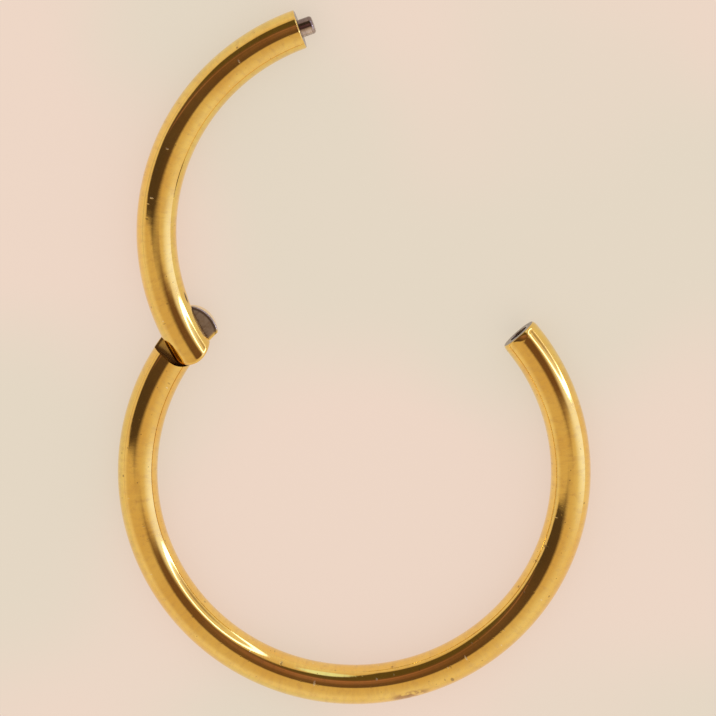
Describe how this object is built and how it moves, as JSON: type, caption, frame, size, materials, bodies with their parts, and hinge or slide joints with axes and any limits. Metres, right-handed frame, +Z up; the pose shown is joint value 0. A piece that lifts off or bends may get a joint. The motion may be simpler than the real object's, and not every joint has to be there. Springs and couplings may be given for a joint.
{
  "type": "nose ring",
  "caption": "Hinged nose ring of plain round gold-coloured wire, lying on its side with the gate open and its catch pin showing.",
  "frame": {"origin": "on the surface that the ring lies on, under the middle of its outline with the gate open as shown", "axes": "+Z up along the hinge's axis, +Y from the hoop towards the open gate's tip, +X from the hinge towards the hoop's free end"},
  "size_m": [0.012, 0.0178, 0.001],
  "materials": {
    "gold": "polished gold plating on surgical steel",
    "bare_steel": "bare turned steel, dull"
  },
  "bodies": {
    "hoop": {"hoop": "gold", "hinge_pin": "bare_steel"},
    "gate": {"gate": "gold", "catch_pin": "bare_steel"}
  },
  "joints": [
    {"name": "gate_hinge", "type": "hinge", "parent": "hoop", "child": "gate", "pos_m": [-0.00428, 0.00056, 0.00051], "axis": [0, 0, 1], "range_deg": [-68.5, 31.5]}
  ]
}
